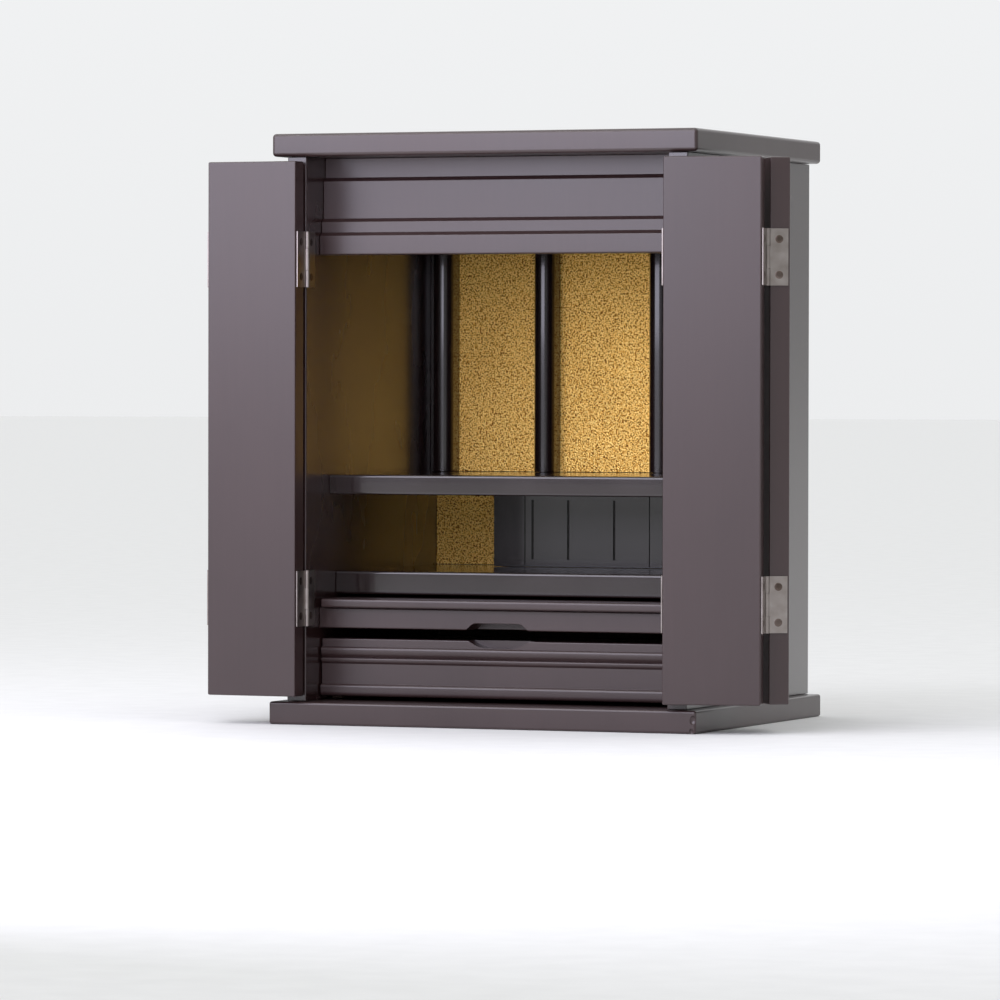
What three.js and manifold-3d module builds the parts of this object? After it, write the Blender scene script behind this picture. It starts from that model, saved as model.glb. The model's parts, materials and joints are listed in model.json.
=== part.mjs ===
// A tabletop household altar cabinet (butsudan) in dark lacquered board.
//
// Millimetres, +Z up. The origin is the middle of the plinth's underside. -Y is the front, +X is to the
// right as one faces the cabinet. The carcass stands on a plinth under an overhanging top board. Each side
// panel carries an outer door leaf on two butt hinges, and each outer leaf carries an inner leaf the same
// way, so that four leaves close the opening. Behind them are a moulded valance, an upper niche with four
// posts before a gold back panel, a lower niche with a dais front, a pull-out board and a drawer.
// The cabinet is modelled with its doors folded open, and its pull-out board and drawer pushed in.

import * as THREE from 'three';
import { RoundedBoxGeometry } from 'three/addons/geometries/RoundedBoxGeometry.js';
import { mergeVertices } from 'three/addons/utils/BufferGeometryUtils.js';
import Module from 'manifold-3d';

const wasm = await Module();
wasm.setup();

// ---------------------------------------------------------------- driving dimensions
const FIT = 0.3;                 // gap between pieces that touch

const PLINTH = { width: 418, depth: 341, height: 21, round: 2.5 };
const TOP = { width: 416, depth: 337, height: 21, round: 3.5, front: 9 };
const OPENING = 354;             // between the side panels
const PANEL = { thick: 19, height: 499.4, round: 1.2 };
const FRONT = 12 - PLINTH.depth / 2;       // front faces of the side panels
const BACK = PLINTH.depth / 2;             // back edges of the side panels
const FLOOR = PLINTH.height + FIT;         // where the carcass starts
const CEILING = FLOOR + PANEL.height + FIT;  // underside of the top board

const LEAF = { thick: 18.5, outer: 88.7, bottom: 26.3, height: 490, round: 1.2, meet: 0.8 };
const PIN = { inset: 2.2, proud: 2.9, radius: 1.0 };    // from a leaf's edge, and from its outer face
const HINGE = { height: 51, plate: 1.2, reach: 16.5, knuckle: 2.5, bore: 1.3, off: 155.4, joint: 0.3 };
const KNUCKLE_ENDS = 15.2;       // height of the hinge's first and last knuckle
const OPEN = { left: 181.2, right: 191.4 };       // how far the outer leaves stand open, in degrees
const FOLD = { left: 146, right: 110 };           // how far the inner leaves are folded back on them

const VALANCE = { bottom: 431.5, front: 30, back: 54 };
const SHELF = { top: 229, thick: 18.5, front: 52 };
const STEP = { top: 139.5, thick: 21.5, front: 68 };
const TRAY = { top: 115, thick: 8.2, front: 22, depth: 268, width: 343 };
const DIVIDER = { top: 106.5, thick: 18.7, front: 30 };
const DRAWER = { bottom: 25, top: 78, front: 30, thick: 24, width: 351, back: 282, board: 10 };
const NOTCH = { width: 61, slope: 7, depth: 6.2, reach: 26, round: 3 };     // finger room under the divider
const SCOOP = { width: 62, slope: 12, depth: 6.8, reach: 20, round: 8 };    // and in the drawer's top edge
const GOLD = { front: 310, thick: 3 };
const POST = { radius: 10, straight: 14.7, bay: 58.6, wall: 163 };
const DAIS = { width: 190, front: 256, board: 10, stiles: [23.3, 59.6], stile: 6, rail: 7, relief: 3 };
const EDGE = 2.5;                // rounding of the boards' front edges

const niche_back = GOLD.front;
const inner_width = OPENING - 2 * FIT;

// ---------------------------------------------------------------- finishes
const finish = (colour, roughness, metalness = 0) => ({ color: colour, roughness, metalness });
const LACQUER = finish(0x35282b, 0.32);
const LACQUER_INSIDE = finish(0x241b1c, 0.3);
const GILT = finish(0xc9963f, 0.42, 0.85);
const BRONZE = finish(0x8c857c, 0.35, 0.9);
const BARE_BOARD = finish(0x4a3a33, 0.7);

const cabinet = new THREE.Group();

function piece(name, geometry, look, parent = cabinet) {
  const mesh = new THREE.Mesh(geometry, new THREE.MeshStandardMaterial(look));
  mesh.name = name;
  parent.add(mesh);
  return mesh;
}

// ---------------------------------------------------------------- solids
/** Distance behind the side panels' front faces, as a Y coordinate. */
const behind = (distance) => FRONT + distance;

function box(x0, x1, y0, y1, z0, z1) {
  const geometry = new THREE.BoxGeometry(x1 - x0, y1 - y0, z1 - z0);
  geometry.translate((x0 + x1) / 2, (y0 + y1) / 2, (z0 + z1) / 2);
  return geometry;
}

function roundedBox(width, depth, height, radius, segments) {
  return new RoundedBoxGeometry(width, depth, height, segments, radius);
}

/** A closed outline of (u, v) corners, each [u, v] or [u, v, radius] where it is rounded. */
function outline(corners) {
  const shape = new THREE.Shape();
  const at = (i) => corners[(i + corners.length) % corners.length];
  const toward = (from, to, distance) => {
    const length = Math.hypot(to[0] - from[0], to[1] - from[1]);
    return [from[0] + ((to[0] - from[0]) * distance) / length, from[1] + ((to[1] - from[1]) * distance) / length];
  };
  corners.forEach((corner, i) => {
    const radius = corner[2] ?? 0;
    const enter = radius ? toward(corner, at(i - 1), radius) : corner;
    if (i === 0) shape.moveTo(enter[0], enter[1]);
    else shape.lineTo(enter[0], enter[1]);
    if (radius) {
      const leave = toward(corner, at(i + 1), radius);
      shape.quadraticCurveTo(corner[0], corner[1], leave[0], leave[1]);
    }
  });
  shape.closePath();
  return shape;
}

/** An outline in (y, z) drawn out along X, between x0 and x1. */
function alongX(shape, x0, x1, curveSegments = 3) {
  const geometry = new THREE.ExtrudeGeometry(shape, { depth: x1 - x0, bevelEnabled: false, curveSegments });
  // the extrusion's (u, v, depth) become (y, z, x)
  geometry.applyMatrix4(new THREE.Matrix4().set(0, 0, 1, x0, 1, 0, 0, 0, 0, 1, 0, 0, 0, 0, 0, 1));
  return geometry;
}

/** An outline in (x, y) drawn up along Z, from z0 to z1. */
function alongZ(shape, z0, z1, curveSegments = 3) {
  const geometry = new THREE.ExtrudeGeometry(shape, { depth: z1 - z0, bevelEnabled: false, curveSegments });
  geometry.translate(0, 0, z0);
  return geometry;
}

/** A board across the cabinet with its front edge rounded. */
function crossBoard(width, front, back, bottom, top, round = EDGE) {
  const shape = outline([
    [behind(front), bottom, round],
    [behind(back), bottom],
    [behind(back), top],
    [behind(front), top, round],
  ]);
  return alongX(shape, -width / 2, width / 2);
}

// ---------------------------------------------------------------- joining and cutting
function toSolid(geometry) {
  const plain = geometry.clone();
  plain.deleteAttribute('normal');
  plain.deleteAttribute('uv');
  const merged = mergeVertices(plain, 1e-4);
  const vertProperties = Float32Array.from(merged.attributes.position.array);
  const triVerts = Uint32Array.from(merged.index.array);
  return new wasm.Manifold(new wasm.Mesh({ numProp: 3, vertProperties, triVerts }));
}

function toGeometry(solid) {
  const mesh = solid.getMesh();
  const geometry = new THREE.BufferGeometry();
  geometry.setAttribute('position', new THREE.BufferAttribute(Float32Array.from(mesh.vertProperties), 3));
  geometry.setIndex(new THREE.BufferAttribute(Uint32Array.from(mesh.triVerts), 1));
  geometry.computeVertexNormals();
  return geometry;
}

function join(...geometries) {
  return toGeometry(geometries.map(toSolid).reduce((a, b) => a.add(b)));
}

function cut(geometry, ...tools) {
  return toGeometry(tools.map(toSolid).reduce((a, b) => a.subtract(b), toSolid(geometry)));
}

// ---------------------------------------------------------------- plinth and top board
/** The plinth board, with two knocks in its front face beside the right-hand corner. */
function plinth() {
  const board = roundedBox(PLINTH.width, PLINTH.depth, PLINTH.height, PLINTH.round, 3);
  board.translate(0, 0, PLINTH.height / 2);
  const knock = (from_corner, height, size, depth) => {
    const bite = new THREE.IcosahedronGeometry(1, 1);
    bite.scale(size, depth, size * 1.4);
    bite.translate(PLINTH.width / 2 - from_corner, -PLINTH.depth / 2, height);
    return bite;
  };
  return cut(board, knock(2.6, 12.5, 3.2, 2), knock(4.2, 2.2, 2.2, 1.6));
}

function topBoard() {
  const board = roundedBox(TOP.width, TOP.depth, TOP.height, TOP.round, 3);
  board.translate(0, behind(-TOP.front) + TOP.depth / 2, CEILING + TOP.height / 2);
  return board;
}

piece('plinth', plinth(), LACQUER);
piece('top_board', topBoard(), LACQUER);

// ---------------------------------------------------------------- carcass
function sidePanel(side) {
  const inner = side * (OPENING / 2);
  const outer = side * (OPENING / 2 + PANEL.thick);
  const corners = [
    [inner, FRONT, PANEL.round],
    [outer, FRONT, PANEL.round],
    [outer, BACK],
    [inner, BACK],
  ];
  return alongZ(outline(side > 0 ? corners : corners.reverse()), FLOOR, FLOOR + PANEL.height, 2);
}

piece('left_side_panel', sidePanel(-1), LACQUER);
piece('right_side_panel', sidePanel(1), LACQUER);

const back_board_front = niche_back + GOLD.thick + FIT;
piece(
  'back_board',
  box(-inner_width / 2, inner_width / 2, behind(back_board_front), BACK - 0.5, FLOOR, CEILING - FIT),
  BARE_BOARD,
);

// ---------------------------------------------------------------- valance
/** Four stepped bands, each standing 4 mm proud of the one above with a chamfered upper edge. */
function valance() {
  const step = 4;
  const chamfer = 3;
  const band_tops = [452, 464.8, 502.5];
  const corners = [
    [behind(VALANCE.back), VALANCE.bottom],
    [behind(VALANCE.back), CEILING - FIT],
    [behind(VALANCE.front + 3 * step), CEILING - FIT],
  ];
  [2, 1, 0].forEach((band) => {
    const face = behind(VALANCE.front + band * step);
    corners.push([face + step, band_tops[band]]);
    corners.push([face + chamfer, band_tops[band]]);
    corners.push([face, band_tops[band] - chamfer]);
  });
  corners.push([behind(VALANCE.front), VALANCE.bottom, 1.5]);
  return alongX(outline(corners.reverse()), -inner_width / 2, inner_width / 2);
}

piece('valance', valance(), LACQUER);

// ---------------------------------------------------------------- niches
const shelf_bottom = SHELF.top - SHELF.thick;
piece(
  'upper_shelf',
  crossBoard(inner_width, SHELF.front, niche_back - FIT, shelf_bottom, SHELF.top),
  LACQUER_INSIDE,
);
piece(
  'lower_niche_floor',
  crossBoard(inner_width, STEP.front, niche_back - FIT, STEP.top - STEP.thick, STEP.top),
  LACQUER_INSIDE,
);

function goldPanel(bottom, top) {
  const [front, back] = [behind(niche_back), behind(niche_back + GOLD.thick)];
  return box(-inner_width / 2, inner_width / 2, front, back, bottom, top);
}

piece('upper_gold_panel', goldPanel(SHELF.top + FIT, CEILING - FIT), GILT);
piece('lower_gold_panel', goldPanel(STEP.top + FIT, shelf_bottom - FIT), GILT);

/** A post with a half-round front, its straight sides running back to the gold panel. */
function post(centre, wall_side = 0) {
  const back = behind(niche_back - FIT);
  const shoulder = back - POST.straight;
  const shape = new THREE.Shape();
  shape.moveTo(centre + POST.radius, shoulder);
  if (wall_side > 0) {
    shape.lineTo(inner_width / 2, shoulder);
    shape.lineTo(inner_width / 2, back);
  } else {
    shape.lineTo(centre + POST.radius, back);
  }
  if (wall_side < 0) {
    shape.lineTo(-inner_width / 2, back);
    shape.lineTo(-inner_width / 2, shoulder);
  } else {
    shape.lineTo(centre - POST.radius, back);
  }
  shape.lineTo(centre - POST.radius, shoulder);
  shape.absarc(centre, shoulder, POST.radius, Math.PI, 2 * Math.PI, false);
  return alongZ(shape, SHELF.top + FIT, CEILING - FIT, 12);
}

piece('left_wall_post', post(-POST.wall, -1), LACQUER_INSIDE);
piece('left_bay_post', post(-POST.bay), LACQUER_INSIDE);
piece('right_bay_post', post(POST.bay), LACQUER_INSIDE);
piece('right_wall_post', post(POST.wall, 1), LACQUER_INSIDE);

// ---------------------------------------------------------------- dais in the lower niche
const dais_bottom = STEP.top + FIT;
const dais_top = shelf_bottom - FIT;

/** The dais front: four upright beads, three sunk panels between them, and a flat pilaster at each end. */
function daisFront() {
  const face = behind(DAIS.front);
  const half = DAIS.width / 2;
  const board = box(-half, half, face, face + DAIS.board, dais_bottom, dais_top);
  const [inner, outer] = DAIS.stiles;
  const bead = DAIS.stile / 2;
  const sunk = (x0, x1, depth, rail) => box(x0, x1, face - 1, face + depth, dais_bottom + rail, dais_top - rail);
  const groove = (x) => sunk(x, x + 1.2, 1.5, 1);
  return cut(
    board,
    sunk(-outer + bead, -inner - bead, DAIS.relief, DAIS.rail),
    sunk(-inner + bead, inner - bead, DAIS.relief, DAIS.rail),
    sunk(inner + bead, outer - bead, DAIS.relief, DAIS.rail),
    groove(-outer - bead - 1.2),
    groove(outer + bead),
  );
}

function daisSide(side) {
  const outer = side * (DAIS.width / 2);
  const inner = side * (DAIS.width / 2 - DAIS.board);
  const [x0, x1] = [Math.min(outer, inner), Math.max(outer, inner)];
  const front = behind(DAIS.front + DAIS.board + FIT);
  return box(x0, x1, front, behind(niche_back - FIT), dais_bottom, dais_top);
}

piece('dais_front', daisFront(), LACQUER_INSIDE);
piece('dais_left_side', daisSide(-1), LACQUER_INSIDE);
piece('dais_right_side', daisSide(1), LACQUER_INSIDE);

// ---------------------------------------------------------------- pull-out board and its divider
piece(
  'pull_out_board',
  crossBoard(TRAY.width, TRAY.front, TRAY.front + TRAY.depth, TRAY.top - TRAY.thick, TRAY.top, 2.2),
  LACQUER,
);

/** A tapered finger hollow in the edge of a board at height `edge`, reaching up or down from it. */
function fingerHollow(hollow, edge, front, upward) {
  const half = hollow.width / 2;
  const sign = upward ? 1 : -1;
  const corners = [
    [-half - 1, -sign],
    [half + 1, -sign],
    [half - hollow.slope, sign * hollow.depth, hollow.round],
    [-half + hollow.slope, sign * hollow.depth, hollow.round],
  ];
  const shape = outline(upward ? corners : corners.reverse());
  const depth = hollow.reach + 1;
  const geometry = new THREE.ExtrudeGeometry(shape, { depth, bevelEnabled: false, curveSegments: 4 });
  // (u, v, depth) become (x, z, -y)
  const back = behind(front) + hollow.reach;
  geometry.applyMatrix4(new THREE.Matrix4().set(1, 0, 0, 0, 0, 0, -1, back, 0, 1, 0, edge, 0, 0, 0, 1));
  return geometry;
}

const divider_bottom = DIVIDER.top - DIVIDER.thick;
piece(
  'drawer_divider',
  cut(
    crossBoard(inner_width, DIVIDER.front, niche_back, divider_bottom, DIVIDER.top, 1.5),
    fingerHollow(NOTCH, divider_bottom, DIVIDER.front, true),
  ),
  LACQUER,
);

// ---------------------------------------------------------------- drawer
const drawer_box_front = DRAWER.front + DRAWER.thick + FIT;

/** Top band, two beads, a flat field and a lower bead, drawn out along the drawer. */
function drawerFront() {
  const face = behind(DRAWER.front);
  const corners = [
    [face + DRAWER.thick, DRAWER.bottom],
    [face + DRAWER.thick, DRAWER.top],
    [face + 4.5, DRAWER.top, 1],
    [face + 4.5, 70.6],
    [face + 1, 70, 2],
    [face + 1, 63, 3.6],
    [face + 4, 60.6],
    [face + 1.6, 60, 0.8],
    [face + 1.6, 56.6, 2],
    [face + 3.4, 55],
    [face + 3.4, 36.4],
    [face, 35.4, 2],
    [face, DRAWER.bottom, 4],
  ];
  const board = alongX(outline(corners.reverse()), -DRAWER.width / 2, DRAWER.width / 2);
  return cut(board, fingerHollow(SCOOP, DRAWER.top, DRAWER.front, false));
}

const drawer_half = DRAWER.width / 2 - 1;
const drawer_side_top = DRAWER.top - 6;
const drawer_foot = FLOOR + FIT;

function drawerSide(side) {
  const [outer, inner] = [side * drawer_half, side * (drawer_half - DRAWER.board)];
  const [x0, x1] = [Math.min(outer, inner), Math.max(outer, inner)];
  return box(x0, x1, behind(drawer_box_front), behind(DRAWER.back), drawer_foot, drawer_side_top);
}

const drawer_inside = drawer_half - DRAWER.board - FIT;
const drawer_back_front = DRAWER.back - DRAWER.board;
piece('drawer_front', drawerFront(), LACQUER);
piece('drawer_left_side', drawerSide(-1), BARE_BOARD);
piece('drawer_right_side', drawerSide(1), BARE_BOARD);
piece(
  'drawer_back',
  box(-drawer_inside, drawer_inside, behind(drawer_back_front), behind(DRAWER.back), drawer_foot + 10, drawer_side_top),
  BARE_BOARD,
);
piece(
  'drawer_bottom',
  box(
    -drawer_inside, drawer_inside,
    behind(drawer_box_front), behind(DRAWER.back),
    drawer_foot + 5, drawer_foot + 10 - FIT,
  ),
  BARE_BOARD,
);

// ---------------------------------------------------------------- door leaves and hinges
const closed_pin_x = OPENING / 2 - PIN.inset;             // pins on the side panels
const outer_leaf_far = PIN.inset + LEAF.outer;            // outer leaf's far edge, from that pin
const fold_pin = outer_leaf_far + PIN.inset;              // pins between the leaves, from that pin
const inner_leaf_width = closed_pin_x - fold_pin - PIN.inset - LEAF.meet;
const leaf_top = LEAF.bottom + LEAF.height;
const leaf_middle = LEAF.bottom + LEAF.height / 2;

/** A leaf as it lies when the doors are closed, from `start` to `end` in X from its pin, toward the middle. */
function leaf(start, end, toward) {
  const board = roundedBox(end - start, LEAF.thick, LEAF.height, LEAF.round, 1);
  board.translate((toward * (start + end)) / 2, PIN.proud + LEAF.thick / 2, leaf_middle);
  return board;
}

/**
 * Half of a butt hinge, with its pin on the Z axis: a plate on the edge of a board that stands at
 * x = facing * PIN.inset, and the knuckles that belong to it. `middle` gives it the middle knuckle.
 */
function hingeHalf(facing, middle) {
  const half = HINGE.height / 2;
  const near = facing * (PIN.inset - FIT - HINGE.plate);
  const far = facing * (PIN.inset - FIT);
  const [x0, x1] = [Math.min(near, far), Math.max(near, far)];
  const clear = HINGE.knuckle + FIT;
  const end = KNUCKLE_ENDS;
  const spans = middle
    ? [[-half + end + HINGE.joint, half - end - HINGE.joint]]
    : [[-half, -half + end], [half - end, half]];
  const knuckle = ([z0, z1]) => {
    const barrel = new THREE.CylinderGeometry(HINGE.knuckle, HINGE.knuckle, z1 - z0, 16);
    barrel.rotateX(Math.PI / 2);
    barrel.translate(0, 0, (z0 + z1) / 2);
    return join(barrel, box(x0, x1, 0, clear + 0.5, z0, z1));
  };
  const bore = new THREE.CylinderGeometry(HINGE.bore, HINGE.bore, HINGE.height + 2, 12);
  bore.rotateX(Math.PI / 2);
  const plate = box(x0, x1, clear, PIN.proud + HINGE.reach, -half, half);
  return cut(join(plate, ...spans.map(knuckle)), bore);
}

function hingePin() {
  const pin = new THREE.CylinderGeometry(PIN.radius, PIN.radius, HINGE.height, 10);
  pin.rotateX(Math.PI / 2);
  return pin;
}

/** Two hinges, one above the other: their fixed halves and pins in `fixed`, their moving halves in `moving`. */
function hinges(name, toward, fixed, fixed_at, moving) {
  [['upper', 1], ['lower', -1]].forEach(([level, sign]) => {
    const z = leaf_middle + sign * HINGE.off;
    const stay = piece(`${name}_${level}_hinge_fixed`, hingeHalf(-toward, false), BRONZE, fixed);
    stay.position.set(fixed_at[0], fixed_at[1], z);
    const pin = piece(`${name}_${level}_hinge_pin`, hingePin(), BRONZE, fixed);
    pin.position.set(fixed_at[0], fixed_at[1], z);
    const swing = piece(`${name}_${level}_hinge_moving`, hingeHalf(toward, true), BRONZE, moving);
    swing.position.set(0, 0, z);
  });
}

function door(side_name, side) {
  const toward = -side;                        // from the side panel toward the middle
  const pin = [side * closed_pin_x, FRONT - PIN.proud];
  const outer = new THREE.Group();
  outer.position.set(pin[0], pin[1], 0);
  outer.rotation.z = THREE.MathUtils.degToRad(side * OPEN[side_name]);
  cabinet.add(outer);
  piece(`${side_name}_outer_leaf`, leaf(PIN.inset, outer_leaf_far, toward), LACQUER, outer);
  hinges(`${side_name}_side`, toward, cabinet, pin, outer);

  const inner = new THREE.Group();
  inner.position.set(toward * fold_pin, 0, 0);
  inner.rotation.z = THREE.MathUtils.degToRad(side * FOLD[side_name]);
  outer.add(inner);
  piece(`${side_name}_inner_leaf`, leaf(PIN.inset, PIN.inset + inner_leaf_width, toward), LACQUER, inner);
  hinges(`${side_name}_fold`, toward, outer, [toward * fold_pin, 0], inner);
}

door('left', -1);
door('right', 1);

export default cabinet;
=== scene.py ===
"""Looks of a tabletop household altar cabinet in dark lacquer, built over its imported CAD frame.

Metres, +Z up, -Y the front, +X to the right. The origin is the middle of the plinth's underside.
"""
import json
import math

import bmesh
import bpy
from mathutils import Matrix, Vector


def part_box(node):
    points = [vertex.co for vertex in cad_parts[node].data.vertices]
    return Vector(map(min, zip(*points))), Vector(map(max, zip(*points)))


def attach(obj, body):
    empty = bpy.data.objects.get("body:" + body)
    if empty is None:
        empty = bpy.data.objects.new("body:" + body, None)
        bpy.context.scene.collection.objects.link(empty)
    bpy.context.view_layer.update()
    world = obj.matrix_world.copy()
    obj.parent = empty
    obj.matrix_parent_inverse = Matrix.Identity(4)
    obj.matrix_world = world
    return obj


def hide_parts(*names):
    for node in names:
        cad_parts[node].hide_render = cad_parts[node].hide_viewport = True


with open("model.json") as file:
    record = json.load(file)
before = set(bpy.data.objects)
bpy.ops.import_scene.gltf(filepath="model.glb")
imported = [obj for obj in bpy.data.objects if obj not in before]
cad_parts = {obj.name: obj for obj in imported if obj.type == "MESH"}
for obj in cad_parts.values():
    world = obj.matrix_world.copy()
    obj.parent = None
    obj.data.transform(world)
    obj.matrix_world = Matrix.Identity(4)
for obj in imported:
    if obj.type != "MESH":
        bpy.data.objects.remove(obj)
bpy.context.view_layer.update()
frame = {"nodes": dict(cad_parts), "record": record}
NODES = frame["nodes"]
BODY_OF = {name: body for body, members in frame["record"]["behaviour"]["bodies"].items() for name in members}
SLOT_OF = {part["node"]: part["material_slot"] for part in frame["record"]["subparts"]}
MM = 0.001


# ---------------------------------------------------------------- node helpers
class Graph:
    """A material's node tree, with short calls for the nodes used below."""

    def __init__(self, name):
        self.material = bpy.data.materials.new(name)
        self.material.use_nodes = True
        self.nodes = self.material.node_tree.nodes
        self.links = self.material.node_tree.links
        self.shader = self.nodes["Principled BSDF"]
        self.coords = self.nodes.new("ShaderNodeTexCoord")

    def add(self, kind, inputs=None, **settings):
        node = self.nodes.new(kind)
        for key, value in settings.items():
            setattr(node, key, value)
        for key, value in (inputs or {}).items():
            self.feed(node.inputs[key], value)
        return node

    def feed(self, socket, value):
        if isinstance(value, bpy.types.NodeSocket):
            self.links.new(value, socket)
        else:
            socket.default_value = value

    def object_coords(self, scale=(1, 1, 1)):
        mapping = self.add("ShaderNodeMapping", {"Vector": self.coords.outputs["Object"], "Scale": scale})
        return mapping.outputs["Vector"]

    def noise(self, scale, detail=3.0, roughness=0.5, stretch=(1, 1, 1), distortion=0.0):
        node = self.add(
            "ShaderNodeTexNoise",
            {
                "Vector": self.object_coords(stretch),
                "Scale": scale,
                "Detail": detail,
                "Roughness": roughness,
                "Distortion": distortion,
            },
        )
        return node.outputs["Fac"]

    def ramp(self, value, stops):
        node = self.add("ShaderNodeValToRGB", {"Fac": value})
        elements = node.color_ramp.elements
        while len(elements) < len(stops):
            elements.new(0.5)
        for element, (at, colour) in zip(elements, stops):
            element.position = at
            element.color = (*colour, 1.0)
        return node.outputs["Color"]

    def span(self, value, low, high, start=0.0, end=1.0):
        node = self.add(
            "ShaderNodeMapRange",
            {"Value": value, "From Min": start, "From Max": end, "To Min": low, "To Max": high},
        )
        return node.outputs["Result"]

    def maths(self, operation, a, b):
        node = self.add("ShaderNodeMath", operation=operation)
        self.feed(node.inputs[0], a)
        self.feed(node.inputs[1], b)
        return node.outputs[0]

    def bump(self, height, strength, distance):
        node = self.add("ShaderNodeBump", {"Height": height, "Strength": strength, "Distance": distance})
        self.feed(self.shader.inputs["Normal"], node.outputs["Normal"])

    def set(self, **values):
        for key, value in values.items():
            self.feed(self.shader.inputs[key.replace("_", " ")], value)
        return self.material


# ---------------------------------------------------------------- materials
def lacquer(name, dark, light, roughness, coat, coat_roughness, ripple=0.03):
    """Dark lacquer on board: a faint drift of colour, a slightly uneven film and a soft clear top coat."""
    g = Graph(name)
    drift = g.noise(7.0, 4.0, 0.55, (1, 1, 0.5))
    grain = g.noise(240.0, 3.0, 0.6, (1, 1, 0.05))
    mixed = g.maths("ADD", g.maths("MULTIPLY", drift, 0.8), g.maths("MULTIPLY", grain, 0.2))
    colour = g.ramp(mixed, [(0.34, dark), (0.66, light)])
    film = g.noise(45.0, 2.0, 0.5)
    g.bump(film, ripple, 0.0006)
    return g.set(
        Base_Color=colour,
        Roughness=g.span(drift, roughness - 0.03, roughness + 0.05, 0.3, 0.7),
        Coat_Weight=coat,
        Coat_Roughness=coat_roughness,
    )


def gold_sheet():
    """Gold sheet pressed all over with a fine pebbled grain. Its colour is painted darker in the grain's
    hollows and brighter on its crests: painted shade and painted highlight that follow the bump.
    """
    g = Graph("gold_panel")
    grain = g.noise(620.0, 2.0, 0.6, distortion=0.4)
    cloud = g.noise(14.0, 3.0, 0.6)
    # Painted shade in the hollows and painted highlight on the crests of the grain that also drives the bump.
    shaded_pit, sheet, lit_crest = (0.16, 0.05, 0.008), (0.8, 0.42, 0.075), (1.0, 0.7, 0.22)
    colour = g.ramp(grain, [(0.38, shaded_pit), (0.47, sheet), (0.57, lit_crest)])
    g.bump(grain, 1.0, 0.0008)
    return g.set(Base_Color=colour, Metallic=1.0, Roughness=g.span(cloud, 0.44, 0.5, 0.3, 0.7))


def bronze(name, dark, light):
    """Dull bronzed brass: brushed lightly along its length, hardly worn."""
    g = Graph(name)
    wear = g.noise(90.0, 3.0, 0.5)
    brush = g.noise(1100.0, 2.0, 0.5, (1, 1, 0.06))
    colour = g.ramp(wear, [(0.3, dark), (0.7, light)])
    g.bump(brush, 0.06, 0.0002)
    return g.set(Base_Color=colour, Metallic=1.0, Roughness=g.span(wear, 0.28, 0.36, 0.3, 0.7))


def bare_board():
    """Plain unlacquered board of fine wood fibre."""
    g = Graph("bare_board")
    fibre = g.noise(500.0, 4.0, 0.65, (1, 1, 0.25))
    patch = g.noise(12.0, 3.0, 0.5)
    mixed = g.maths("ADD", g.maths("MULTIPLY", fibre, 0.6), g.maths("MULTIPLY", patch, 0.4))
    colour = g.ramp(mixed, [(0.35, (0.09, 0.055, 0.04)), (0.65, (0.17, 0.11, 0.085))])
    g.bump(fibre, 0.15, 0.0003)
    return g.set(Base_Color=colour, Roughness=g.span(patch, 0.6, 0.75, 0.3, 0.7))


LOOKS = {
    "satin_lacquer": lacquer(
        "satin_lacquer", dark=(0.024, 0.010, 0.010), light=(0.034, 0.016, 0.016),
        roughness=0.42, coat=0.55, coat_roughness=0.26,
    ),
    "gloss_lacquer": lacquer(
        "gloss_lacquer", dark=(0.009, 0.004, 0.004), light=(0.016, 0.0075, 0.0075),
        roughness=0.22, coat=0.8, coat_roughness=0.07,
    ),
    "gold_panel": gold_sheet(),
    "bronzed_brass": bronze("bronzed_brass", dark=(0.29, 0.255, 0.235), light=(0.37, 0.335, 0.315)),
    "bare_board": bare_board(),
}
# The screws are a darker copy of the plate bronze, painted shade for the dark gap around their heads, and the
# side panels are rubbed smoother than the other boards.
SCREW_PAINTED_SHADE_LOOK = bronze("bronzed_screw_painted_shade", dark=(0.1, 0.075, 0.062), light=(0.17, 0.135, 0.12))
WALL_LOOK = lacquer(
    "rubbed_lacquer", dark=(0.022, 0.010, 0.010), light=(0.028, 0.013, 0.013),
    roughness=0.27, coat=0.8, coat_roughness=0.19, ripple=0.0015,
)


# ---------------------------------------------------------------- pieces
def add_piece(name, mesh, body, slot, look=None):
    piece = bpy.data.objects.new(name, mesh)
    bpy.context.scene.collection.objects.link(piece)
    mesh.materials.clear()
    mesh.materials.append(look or LOOKS[slot])
    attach(piece, body)
    return piece


def smooth_by_angle(mesh, degrees=32.0):
    mesh.polygons.foreach_set("use_smooth", [True] * len(mesh.polygons))
    mesh.set_sharp_from_angle(angle=math.radians(degrees))


WELD = 2e-6               # vertices closer than this are one
FLAT = math.radians(0.4)  # faces within this angle of each other are one face


def softened(node_name, width, sharp=35.0):
    """A piece with its CAD node's shape, its faces joined up, and its hard edges rounded over by `width`."""
    mesh = NODES[node_name].data.copy()
    bm = bmesh.new()
    bm.from_mesh(mesh)
    bmesh.ops.remove_doubles(bm, verts=bm.verts, dist=WELD)
    bmesh.ops.dissolve_limit(bm, angle_limit=FLAT, verts=bm.verts, edges=bm.edges)
    if width:
        limit = math.radians(sharp)
        edges = [e for e in bm.edges if len(e.link_faces) == 2 and e.calc_face_angle(0.0) > limit]
        bmesh.ops.bevel(
            bm, geom=edges, offset=width, offset_type="OFFSET", segments=3, profile=0.5,
            affect="EDGES", clamp_overlap=True, harden_normals=False,
        )
    bmesh.ops.recalc_face_normals(bm, faces=bm.faces)
    bm.to_mesh(mesh)
    bm.free()
    smooth_by_angle(mesh)
    mesh.name = node_name + "_finished"
    look = WALL_LOOK if node_name.endswith("side_panel") else None
    piece = add_piece(node_name + "_finished", mesh, BODY_OF[node_name], SLOT_OF[node_name], look)
    flatten = piece.modifiers.new("flat_faces", "WEIGHTED_NORMAL")
    flatten.keep_sharp = True
    flatten.weight = 100
    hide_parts(node_name)
    return piece


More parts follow.
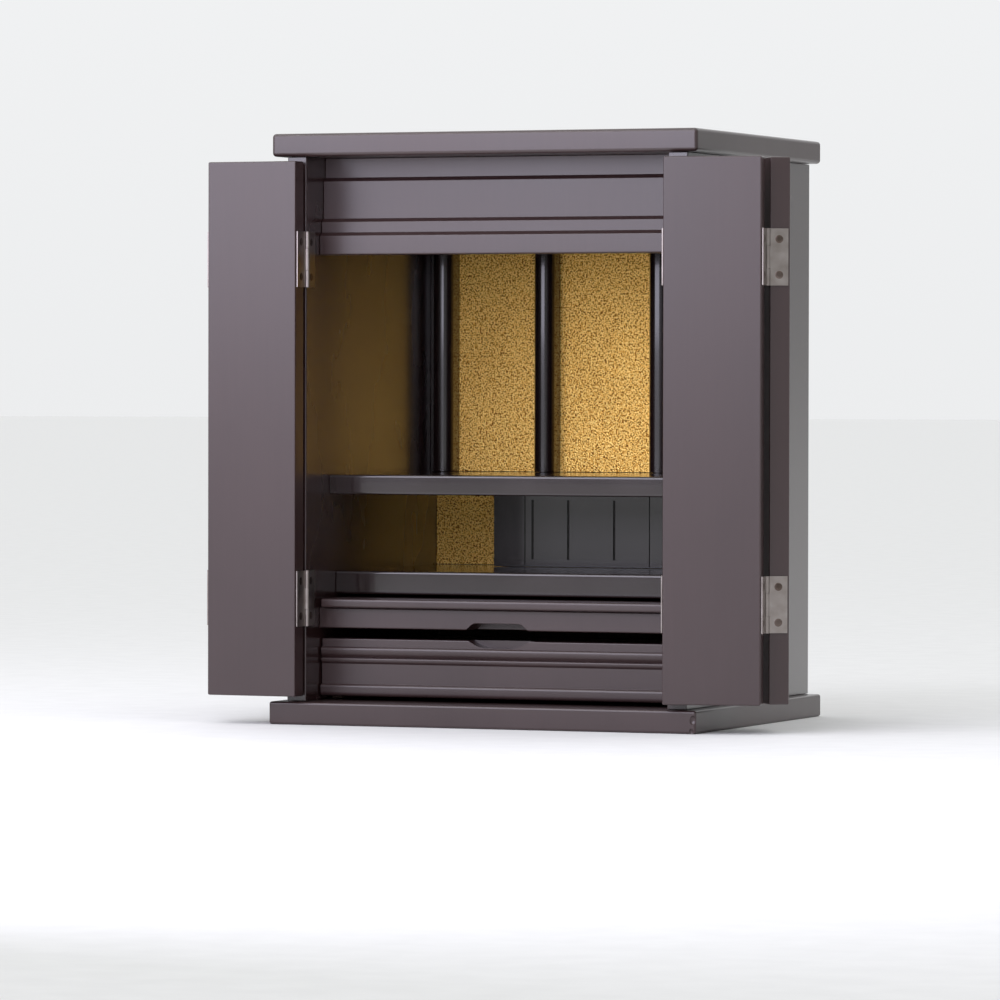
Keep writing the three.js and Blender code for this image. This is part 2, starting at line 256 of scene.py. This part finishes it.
# How far the arrises of each kind of piece are rounded over. Those with 0 are rounded in the CAD already.
EDGES = {
    "plinth": 0.0,
    "top_board": 0.0,
    "side_panel": 0.5 * MM,
    "leaf": 0.8 * MM,
    "hinge_pin": 0.2 * MM,
    "hinge": 0.25 * MM,
    "gold_panel": 0.2 * MM,
    "back_board": 0.5 * MM,
    "post": 0.3 * MM,
}
OTHER_EDGE = 0.6 * MM


def edge_of(name):
    for key, width in EDGES.items():
        if name == key or name.endswith("_" + key) or ("_" + key + "_") in name:
            return width
    return OTHER_EDGE


for node_name in list(NODES):
    softened(node_name, edge_of(node_name))


# ---------------------------------------------------------------- hinge screws
# A head's profile from the crown outwards, as radius and height above its plate, in mm.
HEAD = [(0.0, 0.36), (1.6, 0.34), (2.6, 0.27), (3.3, 0.14), (3.6, 0.0), (3.6, -0.4)]
RECESS = {"length": 3.6, "width": 0.8, "floor": 0.06}   # mm; the floor is its height above the plate
SCREW_STEP = 16 * MM                                    # from the plate's middle to each screw
SCREW_TURNS = (18, 64, 37, 81, 5, 49)                   # degrees, how far each recess is turned
SIDES = 40
OPEN_FACE = (0.6 * MM, 0.8 * MM)                        # how far short of the pin's plane that face lies
UPRIGHT = 0.1                                           # most that an upright face's normal may tip


def bar(bm, length, width, low, high):
    """A straight bar through the axis, standing from `low` to `high`."""
    place = Matrix.Translation((0, 0, (low + high) / 2)) @ Matrix.Diagonal((length, width, high - low, 1))
    bmesh.ops.create_cube(bm, size=1.0, matrix=place)


def mesh_object(name, fill):
    bm = bmesh.new()
    fill(bm)
    bmesh.ops.recalc_face_normals(bm, faces=bm.faces)
    mesh = bpy.data.meshes.new(name)
    bm.to_mesh(mesh)
    bm.free()
    obj = bpy.data.objects.new(name, mesh)
    bpy.context.scene.collection.objects.link(obj)
    return obj


def screw_blank(bm):
    rings = []
    for radius, height in HEAD[1:]:
        ring = []
        for i in range(SIDES):
            turn = 2 * math.pi * i / SIDES
            place = Vector((radius * math.cos(turn), radius * math.sin(turn), height))
            ring.append(bm.verts.new(place * MM))
        rings.append(ring)
    crown = bm.verts.new((0, 0, HEAD[0][1] * MM))
    for i in range(SIDES):
        j = (i + 1) % SIDES
        bm.faces.new((crown, rings[0][i], rings[0][j]))
        for upper, lower in zip(rings, rings[1:]):
            bm.faces.new((upper[i], lower[i], lower[j], upper[j]))
    bm.faces.new(list(reversed(rings[-1])))


def screw_head():
    """One domed head with a cross recess, its underside just inside the plate."""
    head = mesh_object("screw_blank", screw_blank)
    along, across = RECESS["length"] * MM, RECESS["width"] * MM
    cutters = []
    for length, width in ((along, across), (across, along)):
        cutter = mesh_object("cutter", lambda bm: bar(bm, length, width, RECESS["floor"] * MM, MM))
        cutters.append(cutter)
        cut = head.modifiers.new("recess", "BOOLEAN")
        cut.operation = "DIFFERENCE"
        cut.solver = "EXACT"
        cut.object = cutter
    mesh = bpy.data.meshes.new_from_object(head.evaluated_get(bpy.context.evaluated_depsgraph_get()))
    for obj in [head] + cutters:
        bpy.data.objects.remove(obj)
    return mesh


def plate_face(node_name):
    """Middle and direction of a hinge plate's open face: the flat face just short of the pin's plane."""
    pin = node_name.rsplit("_", 1)[0] + "_pin"
    low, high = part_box(pin)
    axis = (Vector(low) + Vector(high)) / 2
    middle, facing, total = Vector(), Vector(), 0.0
    for face in NODES[node_name].data.polygons:
        away = (face.center - axis).dot(face.normal)
        if abs(face.normal.z) < UPRIGHT and OPEN_FACE[0] < -away < OPEN_FACE[1]:
            middle += face.center * face.area
            facing += face.normal * face.area
            total += face.area
    return middle / total, facing.normalized()


def add_screws(node_name, head, turns):
    middle, facing = plate_face(node_name)
    bm = bmesh.new()
    for sign, turn in zip((-1, 1), turns):
        one = head.copy()
        place = Matrix.Translation(middle + Vector((0, 0, sign * SCREW_STEP)))
        spin = Matrix.Rotation(math.radians(turn), 4, "Z")
        one.transform(place @ facing.to_track_quat("Z", "Y").to_matrix().to_4x4() @ spin)
        bm.from_mesh(one)
        bpy.data.meshes.remove(one)
    mesh = bpy.data.meshes.new(node_name + "_screws")
    bm.to_mesh(mesh)
    bm.free()
    smooth_by_angle(mesh)
    # The screws take the darker bronze: painted shade for the gap around their heads.
    add_piece(node_name + "_screws", mesh, BODY_OF[node_name], SLOT_OF[node_name], SCREW_PAINTED_SHADE_LOOK)


head_mesh = screw_head()
plates = [name for name in NODES if name.endswith(("hinge_fixed", "hinge_moving"))]
for count, node_name in enumerate(plates):
    pair = (SCREW_TURNS[count % len(SCREW_TURNS)], SCREW_TURNS[(count + 2) % len(SCREW_TURNS)])
    add_screws(node_name, head_mesh, pair)


# ---------------------------------------------------------------- camera, floor and lights
def unit(azimuth, elevation):
    """Direction from the object: azimuth 0 is the front, growing to the right."""
    a, e = math.radians(azimuth), math.radians(elevation)
    return Vector((math.sin(a) * math.cos(e), -math.cos(a) * math.cos(e), math.sin(e)))


def aimed(obj, place, target, roll=0.0):
    turn = (Vector(target) - Vector(place)).to_track_quat("-Z", "Y").to_matrix().to_4x4()
    obj.matrix_world = Matrix.Translation(place) @ turn @ Matrix.Rotation(math.radians(roll), 4, "Z")


CAMERA = {
    "sensor": 36.0, "lens": 223.3, "clip_end": 100.0,
    "target": (0.01515, -0.1585, 0.2077), "distance": 5.6222,
    "azimuth": 22.116, "elevation": 1.006, "roll": 0.112,
}


def add_camera():
    data = bpy.data.cameras.new("camera")
    data.sensor_width = CAMERA["sensor"]
    data.lens = CAMERA["lens"]
    data.clip_end = CAMERA["clip_end"]
    obj = bpy.data.objects.new("camera", data)
    bpy.context.scene.collection.objects.link(obj)
    target = Vector(CAMERA["target"])
    place = target + unit(CAMERA["azimuth"], CAMERA["elevation"]) * CAMERA["distance"]
    aimed(obj, place, target, roll=CAMERA["roll"])
    bpy.context.scene.camera = obj


LIGHTS = {
    "front_softbox": {
        "place": (-0.5, -1.75, 0.85), "target": (0.0, -0.1, 0.32),
        "size": (2.2, 1.0), "power": 30.0, "colour": (0.85, 0.83, 1.0),
    },
    "key_strip": {
        "place": (-0.35, -0.95, 1.45), "target": (0.0, -0.12, 0.35),
        "size": (1.3, 0.16), "power": 5.0, "colour": (0.97, 0.96, 1.0),
    },
}


def area_light(name, place, target, size, power, colour):
    data = bpy.data.lights.new(name, "AREA")
    data.shape = "RECTANGLE"
    data.size, data.size_y = size
    data.energy = power
    data.color = colour
    obj = bpy.data.objects.new(name, data)
    bpy.context.scene.collection.objects.link(obj)
    aimed(obj, place, target)


FLOOR_SIZE = 60.0
FLOOR_TONES = [(0.3, (0.72, 0.72, 0.715)), (0.7, (0.75, 0.75, 0.745))]


def add_floor():
    mesh = bpy.data.meshes.new("floor")
    bm = bmesh.new()
    bmesh.ops.create_grid(bm, x_segments=1, y_segments=1, size=FLOOR_SIZE)
    bm.to_mesh(mesh)
    bm.free()
    floor = bpy.data.objects.new("floor", mesh)
    bpy.context.scene.collection.objects.link(floor)
    g = Graph("pale_floor")
    speck = g.noise(30.0, 2.0, 0.5)
    g.set(Base_Color=g.ramp(speck, FLOOR_TONES), Roughness=0.8)
    mesh.materials.append(g.material)


# Strength of the studio's background light in each direction from the object.
STUDIO = {"overhead": 1.2, "front": 0.22, "behind": 0.86, "behind_right": 0.38}
STUDIO_TINT = (0.98, 0.99, 1.0, 1.0)


def add_world():
    """A pale studio: brightest overhead, dim in front and dimmer behind on the right than on the left."""
    world = bpy.data.worlds.new("studio")
    world.use_nodes = True
    nodes, links = world.node_tree.nodes, world.node_tree.links
    coords = nodes.new("ShaderNodeTexCoord")
    split = nodes.new("ShaderNodeSeparateXYZ")
    links.new(coords.outputs["Generated"], split.inputs[0])

    def level(value, start, end, low, high):
        node = nodes.new("ShaderNodeMapRange")
        for key, amount in (("From Min", start), ("From Max", end), ("To Min", low), ("To Max", high)):
            if isinstance(amount, bpy.types.NodeSocket):
                links.new(amount, node.inputs[key])
            else:
                node.inputs[key].default_value = amount
        links.new(value, node.inputs["Value"])
        return node.outputs["Result"]

    behind = level(split.outputs["X"], -0.1, 0.35, STUDIO["behind"], STUDIO["behind_right"])
    horizon = level(split.outputs["Y"], -0.5, 0.6, STUDIO["front"], behind)
    strength = level(split.outputs["Z"], 0.0, 0.7, horizon, STUDIO["overhead"])
    background = nodes["Background"]
    background.inputs["Color"].default_value = STUDIO_TINT
    links.new(strength, background.inputs["Strength"])
    bpy.context.scene.world = world


add_camera()
add_floor()
add_world()
bpy.context.scene.view_settings.view_transform = "Standard"
for name, light in LIGHTS.items():
    area_light(name, **light)
